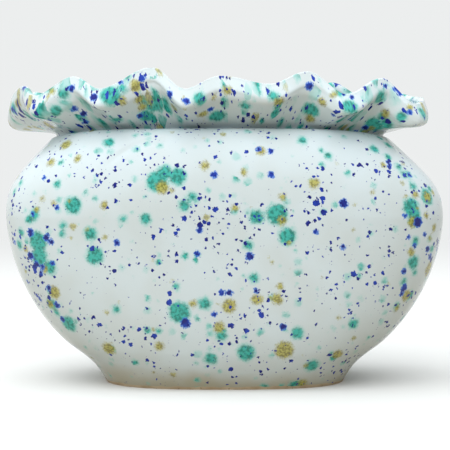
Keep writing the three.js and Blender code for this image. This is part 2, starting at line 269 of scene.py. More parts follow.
def outer_rings():
    """Rings of the outside, from the standing edge up to the seam."""
    foot = []
    for share in np.arange(FOOT_STEPS) / FOOT_STEPS:
        width = FOOT_WIDTH / 2 + END_FOOT_FLARE * share
        depth = FOOT_DEPTH / 2 + FRONT_FOOT_FLARE * share
        foot.append(level_ring(width, depth, FOOT_HEIGHT * share, FOOT_SQUARE))
    heights = np.linspace(FOOT_HEIGHT, BELLY_HEIGHT, LOWER_STEPS + 1)
    lower = lower_rings(*FOOT_TOP, BELLY_WIDTH / 2, BELLY_DEPTH / 2, heights)
    shoulder = shoulder_rings(
        BELLY_WIDTH / 2,
        BELLY_DEPTH / 2,
        NECK_WIDTH / 2 + END_ROLL_WIDTH,
        NECK_DEPTH / 2 + FRONT_ROLL_WIDTH,
        CREST_END,
        CREST_FRONT,
        SHOULDER_STEPS,
    )
    return foot + lower + shoulder + roll_rings()


def soften_foot(grid):
    """Rounds the crease between the foot and the body, as a thumb does on wet clay."""
    reach, passes = 9, 22
    height = grid[:, :1, 2:]
    weight = np.sqrt(np.clip(1 - np.abs(height - FOOT_HEIGHT) / reach, 0, 1))
    for _ in range(passes):
        middle = (grid[:-2] + grid[2:]) / 2
        grid[1:-1] += weight[1:-1] * (middle - grid[1:-1])
    return grid


def hand_undulation(points):
    """Slow unevenness of hand-built clay, from 0 to 1: waves about 50 to 110 mm long."""
    x, y, z = np.moveaxis(points, -1, 0)
    long_waves = [
        np.sin(x / 19 + z / 37 + 0.6),
        np.sin(z / 16 - x / 43 + 2.1),
        np.sin(y / 14 + z / 23 + 1.3),
    ]
    short_wave = np.sin(x / 9.5 - z / 12 + 0.4)
    short_share = 0.6
    waves = sum(long_waves) + short_share * short_wave
    return (waves / (len(long_waves) + short_share) + 1) / 2


def grid_normals(grid):
    """Outward normals of a grid of rings whose points run anticlockwise and upwards."""
    around = np.roll(grid, -1, axis=1) - np.roll(grid, 1, axis=1)
    up = np.gradient(grid, axis=0)
    normals = np.cross(around, up)
    return normals / np.linalg.norm(normals, axis=2, keepdims=True)


def level_joint(grid):
    """Brings the softened joint back to the height and width of the foot's top."""
    joint = grid[FOOT_STEPS].copy()
    reach = 14
    away = np.clip(np.abs(grid[:, :1, 2] - FOOT_HEIGHT) / reach, 0, 1)
    weight = (1 + np.cos(math.pi * away)) / 2
    for axis in (0, 1):
        excess = 1 - FOOT_TOP[axis] / np.abs(joint[:, axis]).max()
        grid[..., axis] *= 1 - excess * weight
    grid[..., 2] += weight * (FOOT_HEIGHT - joint[:, 2])
    grid[0, :, 2] = 0
    grid[FOOT_STEPS, :, 2] = FOOT_HEIGHT
    return grid


def shoulder_crease(points):
    """Depth of the soft crease where the flat of the front meets its left shoulder. Its
    line curves down to the left from its highest point."""
    depth, breadth = 0.9, 2.2
    left_end, left_full, right_end = -74, -58, -30
    top_across, top_height, drop = -38, 152.8, 0.0147
    x, y, z = np.moveaxis(points, -1, 0)
    line = top_height - drop * (x - top_across) ** 2
    share = np.interp(x, [left_end, left_full, top_across, right_end], [0, 1, 1, 0])
    return np.where(y < 0, depth * share * np.exp(-(((z - line) / breadth) ** 2)), 0)


def outer_surface():
    """The outside of the foot and the body, as uneven as hand-built clay."""
    grid = soften_foot(loft(outer_rings(), body_angles))
    fade = np.clip(grid[..., 2] / FOOT_HEIGHT, 0, 1)
    sunk = UNEVENNESS * fade * hand_undulation(grid) + shoulder_crease(grid)
    return level_joint(grid - sunk[..., None] * grid_normals(grid))


def centre_of_solids():
    """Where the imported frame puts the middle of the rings."""
    low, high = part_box("foot_ring")
    return np.array([(low.x + high.x) / 2, (low.y + high.y) / 2, 0]) / MM


outer_grid = outer_surface()
shift = centre_of_solids()


def loop_faces(levels, count):
    """Faces of a stack of rings, closed from the last ring back to the first."""
    level = np.arange(levels)[:, None]
    above = (level + 1) % levels
    here = np.arange(count)[None, :]
    right = (here + 1) % count
    corners = [
        level * count + here,
        level * count + right,
        above * count + right,
        above * count + here,
    ]
    return np.stack(np.broadcast_arrays(*corners), axis=2).reshape(-1, 4)


def in_place(grid, node):
    """A grid moved to the frame's place, and kept inside its solid's box, in millimetres."""
    low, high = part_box(node)
    return np.clip(grid + shift, np.array(low) / MM, np.array(high) / MM)


def add_object(name, data):
    made = bpy.data.objects.new(name, data)
    bpy.context.scene.collection.objects.link(made)
    return made


def make_piece(name, grid):
    """A closed, shaded mesh from a loop of rings, in metres."""
    levels, count, _ = grid.shape
    mesh = bpy.data.meshes.new(name)
    points = grid.reshape(-1, 3) * MM
    mesh.from_pydata(points.tolist(), [], loop_faces(levels, count).tolist())
    mesh.polygons.foreach_set("use_smooth", np.ones(len(mesh.polygons), bool))
    mesh.set_sharp_from_angle(angle=math.radians(SMOOTH_ANGLE))
    mesh.update()
    return add_object(name, mesh)


def body_grid():
    above_floor = np.linspace(FLOOR_TOP, BELLY_HEIGHT, INNER_LOWER_STEPS + 1)
    inside = lower_rings(*SEAT, *INNER_BELLY, [FOOT_HEIGHT, *above_floor])
    inside += shoulder_rings(
        *INNER_BELLY,
        NECK_WIDTH / 2 + END_ROLL_WIDTH - BODY_WALL,
        NECK_DEPTH / 2 + FRONT_ROLL_WIDTH - BODY_WALL,
        CREST_END - SHOULDER_WALL,
        CREST_FRONT - SHOULDER_WALL,
        INNER_SHOULDER_STEPS,
    )
    inside += [level_ring(*MOUTH, NECK_HEIGHT - THROAT_DEPTH, NECK_SQUARE)]
    inside += [level_ring(*MOUTH, NECK_HEIGHT, NECK_SQUARE)]
    inner = loft(inside[::-1], body_angles)
    return np.concatenate([outer_grid[FOOT_STEPS:], inner])


def foot_grid():
    rings = [
        level_ring(SEAT[0] - FLOOR_LEDGE, SEAT[1] - FLOOR_LEDGE, FOOT_HEIGHT, FOOT_SQUARE),
        level_ring(FOOT_WIDTH / 2 - STANDING_WIDTH, FOOT_DEPTH / 2 - STANDING_WIDTH, 0, FOOT_SQUARE),
    ]
    ledge, standing = loft(rings, body_angles)[:, None]
    shares = np.linspace(0, 1, BORE_STEPS + 1)[1:-1, None, None]
    bore = ledge + (standing - ledge) * shares
    thirds = np.array([0.33, 0.66])[:, None, None]
    underside = standing + (outer_grid[:1] - standing) * thirds
    return np.concatenate([outer_grid[: FOOT_STEPS + 1], ledge, bore, standing, underside])


def floor_grid():
    angles = even_angles(FLOOR_SEGMENTS, BELLY_WIDTH, BELLY_DEPTH, BELLY_SQUARE)
    seat, top = lower_rings(*SEAT, *INNER_BELLY, [FOOT_HEIGHT, FLOOR_TOP])
    slab = loft([seat, top], angles)
    gap = JOINT_GAP * slab / np.linalg.norm(slab[..., :2], axis=2, keepdims=True)
    gap[..., 2] = 0
    slab -= gap
    turn = 2 * math.pi * np.arange(FLOOR_SEGMENTS) / FLOOR_SEGMENTS
    circle = np.stack([np.cos(turn), np.sin(turn), np.zeros(FLOOR_SEGMENTS)], axis=1) * DRAIN_HOLE / 2
    hole_top = circle + [0, 0, FLOOR_TOP]
    hole_bottom = circle + [0, 0, FOOT_HEIGHT]
    shares = np.linspace(0, 1, FLOOR_STEPS)[:, None, None]
    across_top = slab[1] + (hole_top - slab[1]) * shares
    across_bottom = hole_bottom + (slab[0] - hole_bottom) * shares[:-1]
    return np.concatenate([slab[:1], across_top, across_bottom])


# ---- Collar ----


def unit(vector):
    return vector / np.hypot(*vector)


def offset_corner(before, corner, after, distance):
    """The corner of the two sides, moved by a distance to their left."""
    back, ahead = unit(before - corner), unit(after - corner)
    sine = ahead[0] * back[1] - ahead[1] * back[0]
    return corner + (back + ahead) * distance / sine


def collar_outlines(neck, side):
    """Corners of the outside of the collar's section, from the seam up, and of its inside."""
    seam = np.array([neck, NECK_HEIGHT], float)
    throat = seam + [0, side["upright"]]
    corner = throat + [side["reach"], side["rise"]]
    edge = corner + [-side["lean"], side["lip"]]
    across = unit(edge - corner)[::-1] * [-1, 1] * COLLAR_WALL
    inside = [
        np.array([neck - BODY_WALL, NECK_HEIGHT], float),
        offset_corner(seam, throat, corner, COLLAR_WALL),
        offset_corner(throat, corner, edge, COLLAR_WALL),
        edge + across,
    ]
    return [seam, throat, corner, edge], inside


def towards(start, end, distance):
    line = end - start
    length = np.hypot(*line)
    return start + line / length * min(distance, LONGEST_SHARE * length)


def arc(start, middle, end):
    t = np.linspace(0, 1, ARC_POINTS)[:, None]
    return (1 - t) ** 2 * start + 2 * t * (1 - t) * middle + t**2 * end


def rounded_outline(corners, upright, turn):
    """An outline through its corners with rounded bends, in steps of flare, bend and lip."""
    seam, throat, corner, edge = corners
    flare_start = towards(throat, corner, upright)
    turn_start = towards(corner, flare_start, turn)
    turn_end = towards(corner, edge, turn)
    flare_line = np.concatenate([arc(seam, throat, flare_start), turn_start[None]])
    flare = along(flare_line, np.linspace(0, 1, FLARE_STEPS + 1))
    bend = along(arc(turn_start, corner, turn_end), np.linspace(0, 1, BEND_STEPS + 1))
    lip = along(np.stack([turn_end, edge]), np.linspace(0, 1, LIP_STEPS + 1))
    return np.concatenate([flare, bend[1:], lip[1:]])


def fold_shares():
    """Shares of the ruffle's height and of its pull inwards, from the seam to the edge."""
    place = np.arange(COLLAR_STEPS + 1)
    corner = FLARE_STEPS + BEND_STEPS / 2
    flare = np.clip(place / corner, 0, 1) ** FOLD_START
    lip = np.clip((place - corner) / (COLLAR_STEPS - corner), 0, 1)
    folds = flare * CORNER_FOLD + lip * (1 - CORNER_FOLD)
    pulls = flare * CORNER_PULL + lip * (LIP_PULL - CORNER_PULL)
    return folds, pulls


def collar_grid():
    ends, ends_inside = collar_outlines(NECK_WIDTH / 2, END_COLLAR)
    front, front_inside = collar_outlines(NECK_DEPTH / 2, FRONT_COLLAR)
    squares = np.linspace(NECK_SQUARE, LIP_SQUARE, COLLAR_STEPS + 1)

    def to_rings(end_corners, front_corners, thickness, turn_share):
        end_side = rounded_outline(
            end_corners, END_COLLAR["upright"] + thickness, END_COLLAR["turn"] * turn_share
        )
        front_side = rounded_outline(
            front_corners, FRONT_COLLAR["upright"] + thickness, FRONT_COLLAR["turn"] * turn_share
        )
        return [
            ring(end[0], side[0], end[1], side[1], square, fold, pull)
            for end, side, square, fold, pull in zip(end_side, front_side, squares, *fold_shares())
        ]

    outside = to_rings(ends, front, 0, 1)
    inside = to_rings(ends_inside, front_inside, COLLAR_WALL, INSIDE_TURN_SHARE)
    outer_edge, inner_edge = np.array(outside[-1]), np.array(inside[-1])
    crown = []
    for turn in np.linspace(0, math.pi, CROWN_STEPS + 2)[1:-1]:
        share = (1 - math.cos(turn)) / 2
        edge = outer_edge + (inner_edge - outer_edge) * share
        edge[2:4] += LIP_CROWN * math.sin(turn)
        crown.append(tuple(edge))
    angles = even_angles(COLLAR_SEGMENTS, outer_edge[0], outer_edge[1], LIP_SQUARE)
    return loft(outside + crown + inside[::-1], angles)


# ---- Pieces ----

body_points = in_place(body_grid(), "body_shell")
collar_points = in_place(collar_grid(), "ruffled_collar")
foot_points = in_place(foot_grid(), "foot_ring")
floor_points = in_place(floor_grid(), "floor_slab")

body = make_piece("glazed_body", body_points)
collar = make_piece("glazed_collar", collar_points)
foot = make_piece("glazed_foot", foot_points)
floor = make_piece("glazed_floor", floor_points)

for piece, node, slot in (
    (body, "body_shell", "speckled_glaze"),
    (collar, "ruffled_collar", "speckled_glaze"),
    (foot, "foot_ring", "bare_clay"),
    (floor, "floor_slab", "plain_glaze"),
):
    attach(piece, "root")
    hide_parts(node)

# ---- Spots of the glaze: where the coloured crystals melted ----

CAMERA_DISTANCE, EYE_HEIGHT = 900, 140
FRONT_FACE = BELLY_DEPTH / 2

# The larger spots of the front: place across, height and radius, as seen on the front face
BODY_TEAL = [
    (-40, 127.5, 6), (-34, 132, 4), (-27, 129.5, 5), (-89.5, 113.5, 5), (-78.5, 95.5, 3.5),
    (-76, 83.5, 5), (-111, 91, 6), (-103, 76, 4), (-23.5, 113.5, 3), (-19, 118, 2.5),
    (-46.5, 105, 3), (-59.5, 105, 1.8), (19.5, 106, 4), (31.5, 107, 6), (38, 94, 5),
    (112, 112, 5.5), (113.5, 79, 4), (-26.5, 49.5, 6), (-11, 54, 3.5), (13.5, 25, 5),
    (44, 37, 3.5), (-7.5, 21.5, 3.5), (78, 42, 3), (53, 17, 4), (-92.5, 42, 5), (-102, 54, 3.5),
    (42.5, 4, 4.5), (24.5, 4, 2.5), (-1, 35.5, 3), (15, 89.5, 2.5), (-28, 65, 1.8), (18.5, 69.5, 2.5),
    (-64, 51, 2), (62.5, 143, 2), (47, 151.5, 2.5), (89, 146.5, 2.5), (98, 149, 2.5),
    (-68.5, 150.5, 3), (-98.5, 125.5, 2), (-112.5, 108, 3), (-115.5, 104.5, 2.5), (-120.5, 97.5, 2),
    (-121.5, 89.5, 2.5), (-110, 82.5, 5.5), (-96, 101, 1.8), (-96.5, 96, 1.5), (-99.5, 49, 2),
    (98, 142, 1.8), (104.5, 136, 2), (107, 131.5, 2.2), (110, 131.5, 1.8), (112.5, 125, 2.2),
    (114, 106, 4.5), (114, 92, 2.2), (107.5, 68, 2), (111.5, 60, 2.5), (103, 53, 1.8), (114.5, 73, 1.5),
]
BODY_OLIVE = [
    (36, 26.5, 5.5), (3.5, 52.5, 4), (-2, 40, 3), (19.5, 57, 3), (32, 57, 3), (33, 65, 1.8),
    (53.5, 126.5, 3), (-69, 28, 4), (-38.5, 29.5, 2.5), (68.5, 23.5, 3), (-71.5, 112.5, 2),
    (-11.5, 137, 2.5), (12, 132, 1.8), (-93.5, 149, 3.5), (-102.5, 138.5, 2.5),
    (-86.5, 141.5, 2), (-37, 123.5, 3.5), (6.5, 111.5, 1.8), (-18, 54, 2), (121.5, 118, 3),
    (22, 145, 2.5), (35.5, 103.5, 2.5), (35, 118, 1.8), (109, 59.5, 3.5), (-61, 5, 2), (47, 7, 2.5),
    (-108, 117.5, 1.2), (-101.5, 114.5, 1.3), (-110.5, 110.5, 1.4), (-101, 60.5, 4), (-103, 54.5, 2.5),
    (-117.5, 86.5, 1.5), (-106.5, 74.5, 1.8), (114, 119.5, 2), (124.5, 121, 1.5), (112.5, 102.5, 3),
    (120.5, 106.5, 1.5), (125, 99.5, 2), (123, 93.5, 1.6), (112, 85, 2.2), (103.5, 51, 1.8),
    (95.5, 136.5, 1.5),
]
BODY_COBALT = [
    (-14.5, 99, 1.8), (15.5, 83.5, 2.5), (-16, 83.5, 1.8), (-64, 91, 2), (-5.5, 132, 2),
    (29, 131, 2), (71.5, 114.5, 2.5), (71.5, 88, 1.5), (55.5, 97.5, 1.5), (-1.5, 60.5, 1.8),
    (4, 60.5, 1.8), (-22.5, 43.5, 3), (19, 62, 1.5), (-99, 112.5, 1.5), (28.5, 145, 1.8),
    (20.5, 146, 1.5), (116, 103.5, 3.2), (123, 82.5, 1.8), (108, 64.5, 2.5), (35.5, 40, 2),
    (-5, 48, 1.5), (-114.5, 96.5, 2.5), (-105.5, 94.5, 2.2), (3.5, 2.5, 1.5),
    (-113, 108.5, 1.2), (-103, 91.5, 1.8), (-115, 82.5, 2.5), (-111.5, 77.5, 2.2), (-108, 76.5, 1.5),
    (-109, 72.5, 1.2), (-101.5, 78.5, 1.5), (-104, 64, 1.8), (-99.5, 54, 2), (-95.5, 45.5, 1.8),
    (-109.5, 57, 1.5), (-117, 67.5, 1.2), (-107, 129.5, 1.3), (98, 139, 1.6), (98.5, 136, 1.6),
    (110, 131, 1.5), (107.5, 107, 1.3), (119.5, 96, 1.3), (113.5, 89, 1.5), (121.5, 86.5, 2),
    (107.5, 74, 1.8), (106, 60, 1.5), (110.5, 93.5, 1.2),
]
COLLAR_TEAL = [
    (-67, 178, 6), (-99, 169, 3.5), (-125, 171, 3.5), (-102.5, 182, 2.5), (-59.5, 182.5, 2.5),
    (-63, 164, 3), (52, 170, 5), (69, 180, 2.5), (75.5, 171.5, 4.5), (93, 177, 4),
    (110, 178, 3.5), (105.5, 165.5, 3), (89.5, 161.5, 5.5), (96.5, 161.5, 4), (120, 178, 2.5),
    (-41, 172, 4), (-46, 166, 4.5), (-14, 176, 4), (-4, 166, 5), (13, 172, 3), (30, 178, 3),
]
COLLAR_OLIVE = [
    (-101, 180.5, 1.8), (-60, 174.5, 2.5), (-50, 176, 2.5), (-48.5, 171.5, 2.5), (58, 174, 2.5),
    (65, 178.5, 2), (51, 164.5, 3), (95.5, 167.5, 2.5), (110.5, 171, 2), (-12, 167, 3),
    (2, 181, 2.5), (33, 174, 3), (-52, 184, 3.5),
]
COLLAR_COBALT = [
    (-90, 182.5, 2), (-77, 177.5, 2.5), (-61, 186, 1.5), (-48.5, 188, 2), (-88, 170, 2),
    (-83, 167, 2), (-81.5, 162.5, 2), (-49, 166, 2), (50.5, 184, 2.5), (71.5, 180, 1.2),
    (76, 177, 1.5), (65, 166.5, 1.2), (96, 183.5, 1.5), (102.5, 182.5, 2), (105, 179.5, 1.5),
    (110.5, 168.5, 1.5), (83.5, 159.5, 2), (-32, 178, 2.5), (-22, 175, 2), (-8, 170, 1.8),
]

# Smallest and largest radius of the random spots of each colour, and how many of them lie
# on 1000 square millimetres
SPOT_SIZES = {"teal": (1.6, 6.5), "olive": (1.4, 5), "cobalt": (1.2, 3)}
BODY_DENSITY = {"teal": 1.2, "olive": 0.75, "cobalt": 0.9}
COLLAR_DENSITY = {"teal": 3.2, "olive": 1.8, "cobalt": 4}
BODY_PLACED = {"teal": BODY_TEAL, "olive": BODY_OLIVE, "cobalt": BODY_COBALT}
COLLAR_PLACED = {"teal": COLLAR_TEAL, "olive": COLLAR_OLIVE, "cobalt": COLLAR_COBALT}

SMALL_SPOTS = 2.5  # the higher this power is, the more of the random spots are small
NEARER_FIRST = 0.02  # of two places behind each other the one nearer to the camera is taken
FAR_FROM_SPOTS = -9.0  # depth stored where no spot is near
RUN_STRETCH = 1.8  # how much longer a mark is along a run of the glaze than across it

dice = np.random.default_rng(20)


def seen_from_front(points):
    """Where points seem to lie on the plane of the front face, from the camera's place."""
    scale = (CAMERA_DISTANCE - FRONT_FACE) / (CAMERA_DISTANCE + points[..., 1])
    return points[..., 0] * scale, EYE_HEIGHT + (points[..., 2] - EYE_HEIGHT) * scale


def hand_placed(points, spots):
    """Centres and radii of the spots on the front, on the surface nearest to the camera."""
    across, up = seen_from_front(points)
    centres, radii = [], []
    for place, height, radius in spots:
        away = np.hypot(across - place, up - height) + NEARER_FIRST * points[..., 1]
        nearest = np.unravel_index(np.argmin(away), away.shape)
        centres.append(points[nearest])
        radii.append(radius)
    return centres, radii


def scattered(points, density, smallest, largest, keep_clear):
    """Centres and radii of random spots, spread evenly over a surface."""
    across = np.linalg.norm(np.roll(points, -1, axis=1) - points, axis=2)
    up = np.linalg.norm(np.gradient(points, axis=0), axis=2)
    area = (across * up).ravel()
    count = int(area.sum() * density / 1000)
    chosen = dice.choice(area.size, count, p=area / area.sum())
    centres = points.reshape(-1, 3)[chosen]
    radii = smallest + (largest - smallest) * dice.random(count) ** SMALL_SPOTS
    kept = [not keep_clear(centre) for centre in centres]
    return list(centres[kept]), list(radii[kept])


def nearest_spots(points, *groups):
    """For each point how deep it lies in the nearest spot, and that spot's centre and radius."""
    deepest = np.full(points.shape[:2], FAR_FROM_SPOTS)
    middles, sizes = np.zeros(points.shape), np.zeros(points.shape[:2])
    for centres, radii in groups:
        for centre, radius in zip(centres, radii):
            depth = radius - np.linalg.norm(points - centre, axis=2)
            nearer = depth > deepest
            deepest[nearer] = depth[nearer]
            middles[nearer] = centre
            sizes[nearer] = radius
    return deepest, middles, sizes


def on_front_face(centre):
    """True where the spots of the body are given one by one in the lists."""
    back, across = -18, 122
    return centre[1] < back and abs(centre[0]) < across


def on_front_collar(centre):
    """True where the spots of the collar are given one by one in the lists."""
    back, across = -25, 118
    return centre[1] < back and abs(centre[0]) < across


def no_place(_):
    return False


def store(piece, name, values):
    attribute = piece.data.attributes.new(name, "FLOAT", "POINT")
    attribute.data.foreach_set("value", values.ravel().astype(np.float32))


def store_vectors(piece, name, vectors):
    attribute = piece.data.attributes.new(name, "FLOAT_VECTOR", "POINT")
    attribute.data.foreach_set("vector", vectors.ravel().astype(np.float32))


def spots_on(surface, densities, placed=None, keep_clear=no_place):
    """The placed and the random spots of each colour on a surface."""
    found = {}
    for name, (smallest, largest) in SPOT_SIZES.items():
        front = hand_placed(surface, placed[name] if placed else [])
        found[name] = [front, scattered(surface, densities[name], smallest, largest, keep_clear)]
    return found


def paint_spots(piece, points, outside_levels, outside_spots, inside_spots=None):
    """Stores for each colour the nearest spots, on the outside and on the inside."""
    outside, inside = points[:outside_levels], points[outside_levels:]
    for name in SPOT_SIZES:
        within = inside_spots[name] if inside_spots else []
        sides = [nearest_spots(outside, *outside_spots[name]), nearest_spots(inside, *within)]
        depth, centre, radius = [np.concatenate(pair) for pair in zip(*sides)]
        store(piece, name + "_depth", depth)
        store_vectors(piece, name + "_centre", centre)
        store(piece, name + "_radius", radius)


def store_flow(piece, points):
    """Places measured round the collar and along its section, for marks drawn out by a run."""
    count = points.shape[1]
    around = np.linalg.norm(np.roll(points, -1, axis=1) - points, axis=2).sum(axis=1).max()
    turn = 2 * math.pi * np.arange(count) / count
    steps = np.linalg.norm(np.diff(points, axis=0), axis=2).mean(axis=1)
    along_section = np.concatenate([[0], np.cumsum(steps)]) / RUN_STRETCH
    flow = np.empty(points.shape)
    flow[..., 0] = around / (2 * math.pi) * np.cos(turn)
    flow[..., 1] = around / (2 * math.pi) * np.sin(turn)
    flow[..., 2] = along_section[:, None]
    store_vectors(piece, "flow", flow)


body_outside = len(outer_grid) - FOOT_STEPS
collar_outside = COLLAR_STEPS + 1 + CROWN_STEPS // 2

# The foot and the body share their spots, so that a spot runs on across the joint
pot_spots = spots_on(outer_grid + shift, BODY_DENSITY, BODY_PLACED, on_front_face)
collar_spots = spots_on(
    collar_points[:collar_outside], COLLAR_DENSITY, COLLAR_PLACED, on_front_collar
)
body_inside_spots = spots_on(body_points[body_outside:], BODY_DENSITY)
collar_inside_spots = spots_on(collar_points[collar_outside:], COLLAR_DENSITY)

paint_spots(body, body_points, body_outside, pot_spots, body_inside_spots)
paint_spots(foot, foot_points, FOOT_STEPS + 1, pot_spots)
paint_spots(collar, collar_points, collar_outside, collar_spots, collar_inside_spots)

store_flow(collar, collar_points)


def store_glazed(piece, points, levels):
    """1 on the rings that the glaze covers and 0 on the others."""
    glazed = np.zeros(points.shape[:2])
    glazed[levels] = 1
    store(piece, "glazed", glazed)


store_glazed(foot, foot_points, slice(0, FOOT_STEPS + 1))
store_glazed(floor, floor_points, slice(1, FLOOR_STEPS + 1))

# ---- Glaze ----


def colour(red, green, blue):
    """A colour seen on a screen as 0 to 255, in the linear numbers that shaders take."""
    linear = [((value / 255 + 0.055) / 1.055) ** 2.4 for value in (red, green, blue)]
    return (*linear, 1)


WHITE_GLAZE = colour(208, 221, 226)
# Warm tone of the glaze; near the foot it also serves as painted shade
WARM_GLAZE_AND_FOOT_SHADE = colour(178, 174, 152)
TEAL_DEEP, TEAL_BRIGHT = colour(14, 128, 116), colour(52, 178, 166)
TEAL_PALE = colour(108, 199, 190)
OLIVE_DEEP, OLIVE_LIGHT = colour(126, 118, 20), colour(182, 178, 78)
COBALT_SOFT, COBALT_DEEP, NAVY = colour(40, 108, 206), colour(20, 66, 186), colour(6, 18, 118)
PINPOINT = colour(116, 122, 176)
OFF_WHITE, POOLED_GLAZE, CRACKLE = colour(220, 219, 210), colour(206, 208, 196), colour(176, 168, 148)
CLAY_LIGHT, CLAY_DARK, GROG = colour(206, 190, 162), colour(184, 164, 134), colour(128, 104, 78)
DEPTH_SLACK = 0.3  # how much deeper in a spot a place may lie than its points say
NOISE_SPREAD = 5  # brings noise of 0.3 to 0.7 to about plus or minus 1
SHINE = 0.35  # how strongly the glaze reflects, 0.5 being the usual level


def add_node(tree, kind, inputs=None, **settings):
    """A shader node with its settings, its inputs set to numbers or linked to sockets."""
    made = tree.nodes.new("ShaderNode" + kind)
    for name, value in settings.items():
        setattr(made, name, value)
    for name, value in (inputs or {}).items():
        if isinstance(value, bpy.types.NodeSocket):
            tree.links.new(value, made.inputs[name])
        else:
            made.inputs[name].default_value = value
    return made


def maths(tree, operation, first, second):
    return add_node(tree, "Math", {0: first, 1: second}, operation=operation).outputs[0]


def smooth(tree, value, start, end, low=0.0, high=1.0):
    """A value turned into a share that eases from low at start to high at end."""
    inputs = {"Value": value, "From Min": start, "From Max": end, "To Min": low, "To Max": high}
    return add_node(tree, "MapRange", inputs, interpolation_type="SMOOTHSTEP").outputs["Result"]


def blend(tree, share, under, over):
    """One colour over another: a mix node has them at inputs 6 and 7, and gives output 2."""
    made = add_node(tree, "Mix", {0: share, 6: under, 7: over}, data_type="RGBA")
    return made.outputs[2]


def millimetres(tree):
    """Places on the object, in millimetres."""
    place = add_node(tree, "TexCoord").outputs["Object"]
    inputs = {0: place, "Scale": 1 / MM}
    return add_node(tree, "VectorMath", inputs, operation="SCALE").outputs[0]


def noise(tree, place, grain, detail=2.0):
    """Soft noise from about 0.3 to 0.7, with lumps of about one grain, in millimetres."""
    inputs = {"Vector": place, "Scale": 1 / grain, "Detail": detail}
    return add_node(tree, "TexNoise", inputs).outputs["Fac"]


def wobble(tree, place, grain, amount):
    """Noise of about plus or minus an amount."""
    centred = maths(tree, "SUBTRACT", noise(tree, place, grain), 0.5)
    return maths(tree, "MULTIPLY", centred, NOISE_SPREAD * amount)


def shaken(tree, place, grain, amount):
    """Places moved about by noise, so that round dots become uneven."""
    inputs = {"Vector": place, "Scale": 1 / grain, "Detail": 1.0}
    shake = add_node(tree, "TexNoise", inputs).outputs["Color"]
    centred = add_node(tree, "VectorMath", {0: shake, 1: (0.5, 0.5, 0.5)}, operation="SUBTRACT")
    inputs = {0: centred.outputs[0], "Scale": NOISE_SPREAD * amount}
    moved = add_node(tree, "VectorMath", inputs, operation="SCALE")
    return add_node(tree, "VectorMath", {0: place, 1: moved.outputs[0]}).outputs[0]


def dots(tree, place, cell, smallest, largest, edge, swell):
    """Random dots, one in each cell: a radius below 0 leaves its cell bare."""
    inputs = {"Vector": place, "Scale": 1 / cell, "Randomness": 1.0}
    cells = add_node(tree, "TexVoronoi", inputs, voronoi_dimensions="3D", feature="F1")
    chance = add_node(tree, "SeparateColor", {0: cells.outputs["Color"]}).outputs["Red"]
    inputs = {"Value": chance, "To Min": smallest, "To Max": largest}
    radius = add_node(tree, "MapRange", inputs).outputs["Result"]
    radius = maths(tree, "ADD", radius, swell)
    distance = maths(tree, "MULTIPLY", cells.outputs["Distance"], cell)
    depth = maths(tree, "SUBTRACT", radius, distance)
    return smooth(tree, depth, -edge, edge)


def stored(tree, name, output="Fac"):
    return add_node(tree, "Attribute", attribute_name=name).outputs[output]


def distance_to(tree, place, centre):
    return add_node(tree, "VectorMath", {0: place, 1: centre}, operation="DISTANCE").outputs["Value"]


def spot_depth(tree, name, place, *roughening):
    """How deep a place lies in the nearest stored spot. Between two spots the stored
    centres blend, so the depth stored for the points themselves limits it there."""
    away = distance_to(tree, place, stored(tree, name + "_centre", "Vector"))
    depth = maths(tree, "SUBTRACT", stored(tree, name + "_radius"), away)
    limit = maths(tree, "ADD", stored(tree, name + "_depth"), DEPTH_SLACK)
    depth = maths(tree, "MINIMUM", depth, limit)
    for rough in roughening:
        depth = maths(tree, "ADD", depth, rough)
    return depth


def teal_layer(tree, place, pattern, fine, tint):
    """Turquoise crystals: a grainy, saturated middle and a soft edge, and many faint ones."""
    grains = wobble(tree, pattern, grain=0.8, amount=0.4)
    uneven = shaken(tree, pattern, grain=2.2, amount=0.45)
    size = {"cell": 7.5, "smallest": -2.0, "largest": fine["teal"], "edge": 1.3}
    faint = dots(tree, uneven, swell=grains, **size)
    strength = smooth(tree, noise(tree, pattern, grain=9), 0.35, 0.65, low=0.4, high=1.0)
    cover = maths(tree, "MULTIPLY", faint, strength)
    ragged = wobble(tree, pattern, grain=3.0, amount=0.7)
    depth = spot_depth(tree, "teal", place, grains, ragged)
    cover = maths(tree, "MAXIMUM", cover, smooth(tree, depth, -2.5, 1.5, high=0.97))
    patches = smooth(tree, noise(tree, pattern, grain=1.9), 0.36, 0.6)
    tone = blend(tree, patches, TEAL_DEEP, TEAL_BRIGHT)
    tone = blend(tree, smooth(tree, cover, 0.35, 0.95), TEAL_PALE, tone)
    return blend(tree, cover, tint, tone)


def olive_layer(tree, place, pattern, fine, tint):
    """Golden olive crystals, grainier than the teal ones, over them."""
    grains = wobble(tree, pattern, grain=0.7, amount=0.55)
    uneven = shaken(tree, pattern, grain=2.2, amount=0.45)
    size = {"cell": 10.0, "smallest": -3.4, "largest": fine["olive"], "edge": 0.9}
    faint = dots(tree, uneven, swell=grains, **size)
    faint_strength = 0.75
    ragged = wobble(tree, pattern, grain=2.8, amount=0.6)
    depth = spot_depth(tree, "olive", place, grains, ragged)
    cover = smooth(tree, depth, -1.7, 1.3, high=0.9)
    cover = maths(tree, "MAXIMUM", cover, maths(tree, "MULTIPLY", faint, faint_strength))
    heart = smooth(tree, noise(tree, pattern, grain=1.3), 0.38, 0.62)
    return blend(tree, cover, tint, blend(tree, heart, OLIVE_DEEP, OLIVE_LIGHT))


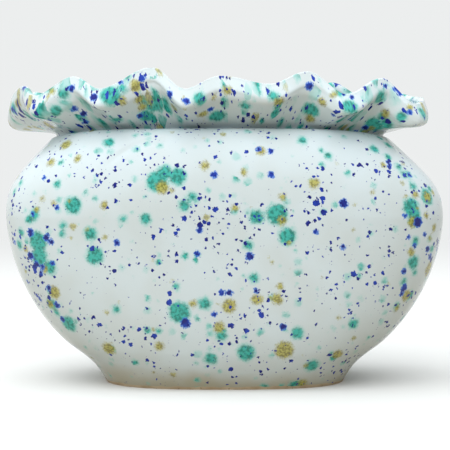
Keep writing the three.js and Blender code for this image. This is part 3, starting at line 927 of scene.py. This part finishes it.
def cobalt_layer(tree, place, pattern, fine, tint):
    """Cobalt: blue blots with navy hearts, many crisp fine specks in drifts, and pinpoints."""
    uneven = shaken(tree, pattern, grain=1.5, amount=0.45)
    depth = spot_depth(tree, "cobalt", place, wobble(tree, pattern, grain=1.3, amount=0.75))
    tint = blend(tree, smooth(tree, depth, -0.75, 0.25, high=0.9), tint, COBALT_SOFT)
    navy = smooth(tree, depth, 0.15, 0.8)
    drift = wobble(tree, pattern, grain=26, amount=fine["drift"])
    speck_size = {"cell": fine["cell"], "smallest": fine["least"], "largest": fine["speck"]}
    specks = dots(tree, uneven, edge=0.16, swell=drift, **speck_size)
    dust_size = {"cell": 2.7, "smallest": fine["dust"], "largest": 0.7}
    dust = dots(tree, uneven, edge=0.14, swell=drift, **dust_size)
    haze = dots(tree, pattern, cell=3.6, smallest=-0.9, largest=0.5, edge=0.2, swell=0.0)
    haze_strength = 0.5
    tint = blend(tree, maths(tree, "MULTIPLY", haze, haze_strength), tint, PINPOINT)
    navy = maths(tree, "MAXIMUM", navy, maths(tree, "MAXIMUM", specks, dust))
    hue = smooth(tree, noise(tree, pattern, grain=5), 0.4, 0.62, high=0.7)
    return blend(tree, navy, tint, blend(tree, hue, NAVY, COBALT_DEEP))


def skin(tree, place, shader, depth, smoothest, roughest):
    """The slightly uneven, glossy surface of a poured glaze."""
    ripple = noise(tree, place, grain=6, detail=3.0)
    bump = add_node(tree, "Bump", {"Height": ripple, "Strength": depth, "Distance": 0.6 * MM})
    tree.links.new(bump.outputs["Normal"], shader.inputs["Normal"])
    cloud = noise(tree, place, grain=16)
    gloss = smooth(tree, cloud, 0.3, 0.7, low=smoothest, high=roughest)
    tree.links.new(gloss, shader.inputs["Roughness"])


def new_material(name):
    material = bpy.data.materials.new(name)
    material.use_nodes = True
    tree = material.node_tree
    return material, tree, tree.nodes["Principled BSDF"]


def height_of(tree, place):
    return add_node(tree, "SeparateXYZ", {0: place}).outputs["Z"]


def glaze_ground(tree, place):
    """White glaze, warmer and darker near the foot: partly glaze thinning over buff clay, partly
    painted shade from the surface the pot stands on.
    """
    uneven = wobble(tree, place, grain=22, amount=3.0)
    height = maths(tree, "ADD", height_of(tree, place), uneven)
    # Painted shade near the foot, partly also the glaze thinning there
    foot_shade_and_thin_glaze = smooth(tree, height, 0.0, 17.0, low=0.95, high=0.0)
    cloud = smooth(tree, noise(tree, place, grain=30), 0.35, 0.7, high=0.14)
    return blend(tree, maths(tree, "MAXIMUM", foot_shade_and_thin_glaze, cloud), WHITE_GLAZE, WARM_GLAZE_AND_FOOT_SHADE)


def speckles(tree, place, pattern, fine):
    tint = glaze_ground(tree, place)
    tint = teal_layer(tree, place, pattern, fine, tint)
    tint = olive_layer(tree, place, pattern, fine, tint)
    return cobalt_layer(tree, place, pattern, fine, tint)


def speckled_glaze(name, fine, has_run=False):
    """Gloss white glaze in which teal, olive and cobalt crystals have melted and spread.
    Where the glaze has run, the marks are drawn out from the throat to the lip."""
    material, tree, shader = new_material(name)
    place = millimetres(tree)
    pattern = stored(tree, "flow", "Vector") if has_run else place
    tint = speckles(tree, place, pattern, fine)
    tree.links.new(tint, shader.inputs["Base Color"])
    shader.inputs["Specular IOR Level"].default_value = SHINE
    skin(tree, place, shader, depth=0.12, smoothest=0.07, roughest=0.14)
    return material


def plain_tint(tree, place):
    """Off-white glaze with a fine net of crackle lines, a little deeper where it pooled."""
    cell = 7
    inputs = {"Vector": shaken(tree, place, grain=6, amount=0.8), "Scale": 1 / cell}
    cells = add_node(tree, "TexVoronoi", inputs, feature="DISTANCE_TO_EDGE")
    lines = smooth(tree, cells.outputs["Distance"], 0.0, 0.035, low=0.5, high=0.0)
    pooled = smooth(tree, noise(tree, place, grain=24), 0.35, 0.65)
    ground = blend(tree, pooled, OFF_WHITE, POOLED_GLAZE)
    return blend(tree, lines, ground, CRACKLE)


def clay_tint(tree, place):
    """Buff fired clay with darker grog in it."""
    cloud = smooth(tree, noise(tree, place, grain=9), 0.3, 0.7)
    ground = blend(tree, cloud, CLAY_LIGHT, CLAY_DARK)
    uneven = shaken(tree, place, grain=1.2, amount=0.3)
    grog = dots(tree, uneven, cell=1.7, smallest=-0.5, largest=0.55, edge=0.15, swell=0.0)
    grog_strength = 0.6
    return blend(tree, maths(tree, "MULTIPLY", grog, grog_strength), ground, GROG)


def part_glazed(name, tint_of, wiped_height=None):
    """Glaze where the stored share says so, and bare clay elsewhere. On the outside of the
    foot the glaze was wiped off below a height."""
    material, tree, shader = new_material(name)
    place = millimetres(tree)
    glazed = stored(tree, "glazed")
    if wiped_height is not None:
        uneven, edge = wobble(tree, place, grain=7, amount=0.35), 0.5
        height = maths(tree, "ADD", height_of(tree, place), uneven)
        wiped = smooth(tree, height, wiped_height, wiped_height + edge)
        glazed = maths(tree, "MULTIPLY", glazed, wiped)
    tint = blend(tree, glazed, clay_tint(tree, place), tint_of(tree, place))
    tree.links.new(tint, shader.inputs["Base Color"])
    gloss = smooth(tree, glazed, 0.0, 1.0, low=0.85, high=0.11)
    tree.links.new(gloss, shader.inputs["Roughness"])
    shader.inputs["Specular IOR Level"].default_value = SHINE
    clay_relief = noise(tree, place, grain=0.7, detail=4.0)
    relief = blend(tree, glazed, clay_relief, noise(tree, place, grain=6, detail=3.0))
    bump = add_node(tree, "Bump", {"Height": relief, "Strength": 0.2, "Distance": 0.4 * MM})
    tree.links.new(bump.outputs["Normal"], shader.inputs["Normal"])
    return material


# Fine marks: largest radius of the faint teal and olive dots; cell, least and largest radius
# of the specks; least radius of the dust; and how far both swell and shrink in drifts
BODY_FINE = {
    "teal": 2.7, "olive": 2.2,
    "cell": 4.6, "least": -1.8, "speck": 1.5, "dust": -1.15, "drift": 0.68,
}
COLLAR_FINE = {
    "teal": 5.0, "olive": 4.0,
    "cell": 4.0, "least": -0.9, "speck": 1.7, "dust": -0.6, "drift": 0.45,
}
WIPED_HEIGHT = 1.6


def body_speckles(tree, place):
    return speckles(tree, place, place, BODY_FINE)


body_glaze = speckled_glaze("speckled_body_glaze", BODY_FINE)
collar_glaze = speckled_glaze("speckled_collar_glaze", COLLAR_FINE, has_run=True)
foot_glaze = part_glazed("glaze_wiped_foot", body_speckles, WIPED_HEIGHT)
floor_glaze = part_glazed("plain_floor_glaze", plain_tint)
for piece, glaze in (
    (body, body_glaze),
    (collar, collar_glaze),
    (foot, foot_glaze),
    (floor, floor_glaze),
):
    piece.data.materials.append(glaze)

# ---- Stage, light and camera ----

BACKDROP, FLOOR_SEEN, FLOOR_BOUNCE = colour(236, 238, 238), colour(222, 222, 220), colour(165, 154, 134)
SKY_TINT = (0.97, 1.0, 1.02, 1)
BRIGHT_SIDE = (-0.1, -0.95, 0.3)
FLOOR_REACH = 6


def area_light(name, place, target, size, power):
    light = bpy.data.lights.new(name, "AREA")
    light.shape = "RECTANGLE"
    light.size, light.size_y = size
    light.energy = power
    lamp = add_object(name, light)
    lamp.location = place
    lamp.rotation_mode = "QUATERNION"
    lamp.rotation_quaternion = (Vector(target) - Vector(place)).to_track_quat("-Z", "Y")
    lamp.visible_glossy = False


area_light(
    "sky_light", place=(-0.5, -1.1, 1.05), target=(0, 0, 0.1), size=(1.5, 1.2), power=6.3
)
area_light(
    "overhead_light", place=(-0.25, -0.15, 1.2), target=(0, 0, 0.15), size=(0.9, 0.9), power=3.2
)


def seen_directly(tree):
    """1 for what the camera sees, also in a reflection or through glass, and 0 for light."""
    path = add_node(tree, "LightPath").outputs
    seen = maths(tree, "MAXIMUM", path["Is Camera Ray"], path["Is Glossy Ray"])
    return maths(tree, "MAXIMUM", seen, path["Is Transmission Ray"])


def studio_world():
    """A soft sky, brighter above and in front, and a pale backdrop where it is seen."""
    world = bpy.data.worlds.new("studio")
    world.use_nodes = True
    tree = world.node_tree
    background = tree.nodes["Background"]
    direction = add_node(tree, "TexCoord").outputs["Generated"]
    parts = add_node(tree, "SeparateXYZ", {0: direction}).outputs
    across, up = parts["X"], parts["Z"]
    inputs = {0: direction, 1: BRIGHT_SIDE}
    front = add_node(tree, "VectorMath", inputs, operation="DOT_PRODUCT").outputs["Value"]
    sky = smooth(tree, up, 0.0, 0.9, low=0.3, high=1.8)
    sky = maths(tree, "ADD", sky, smooth(tree, front, 0.2, 1.0, high=0.3))
    sky = maths(tree, "MULTIPLY", sky, smooth(tree, across, -1.0, 1.0, low=1.1, high=0.7))
    shown = smooth(tree, up, 0.15, 0.9, low=1.0, high=1.5)
    seen = seen_directly(tree)
    strength = add_node(tree, "Mix", {0: seen, 2: sky, 3: shown}).outputs[0]
    tint = blend(tree, seen, SKY_TINT, BACKDROP)
    tree.links.new(tint, background.inputs["Color"])
    tree.links.new(strength, background.inputs["Strength"])
    return world


def studio_floor():
    """A pale floor that fades into the backdrop, and throws little light back."""
    mesh = bpy.data.meshes.new("studio_floor")
    signs = [(-1, -1), (1, -1), (1, 1), (-1, 1)]
    corners = [(across * FLOOR_REACH, deep * FLOOR_REACH, 0) for across, deep in signs]
    mesh.from_pydata(corners, [], [(0, 1, 2, 3)])
    plane = add_object("studio_floor", mesh)
    material, tree, shader = new_material("pale_floor")
    shader.inputs["Roughness"].default_value = 0.9
    shader.inputs["Specular IOR Level"].default_value = 0.1
    seen = seen_directly(tree)
    tint = blend(tree, seen, FLOOR_BOUNCE, FLOOR_SEEN)
    tree.links.new(tint, shader.inputs["Base Color"])
    place = add_node(tree, "TexCoord").outputs["Object"]
    away = add_node(tree, "VectorMath", {0: place}, operation="LENGTH").outputs["Value"]
    fade = maths(tree, "MULTIPLY", smooth(tree, away, 0.35, 1.6), seen)
    glow = add_node(tree, "Emission", {"Color": BACKDROP, "Strength": 1.0}).outputs[0]
    mixed = add_node(tree, "MixShader", {0: fade, 1: shader.outputs[0], 2: glow})
    tree.links.new(mixed.outputs[0], tree.nodes["Material Output"].inputs["Surface"])
    mesh.materials.append(material)


bpy.context.scene.world = studio_world()
studio_floor()

FOCAL_PIXELS, FRAME_PIXELS, HORIZON_PIXEL = 1404, 450, 160
SENSOR_WIDTH = 36
CAMERA_ASIDE = 0.95
camera_data = bpy.data.cameras.new("camera")
camera_data.sensor_width = SENSOR_WIDTH
camera_data.lens = SENSOR_WIDTH * FOCAL_PIXELS / FRAME_PIXELS
camera = add_object("camera", camera_data)
camera.location = (CAMERA_ASIDE * MM, -CAMERA_DISTANCE * MM, EYE_HEIGHT * MM)
pitch = math.atan((FRAME_PIXELS / 2 - HORIZON_PIXEL) / FOCAL_PIXELS)
camera.rotation_euler = (math.pi / 2 - pitch, 0, 0)
bpy.context.scene.camera = camera
bpy.context.scene.view_settings.view_transform = "Standard"
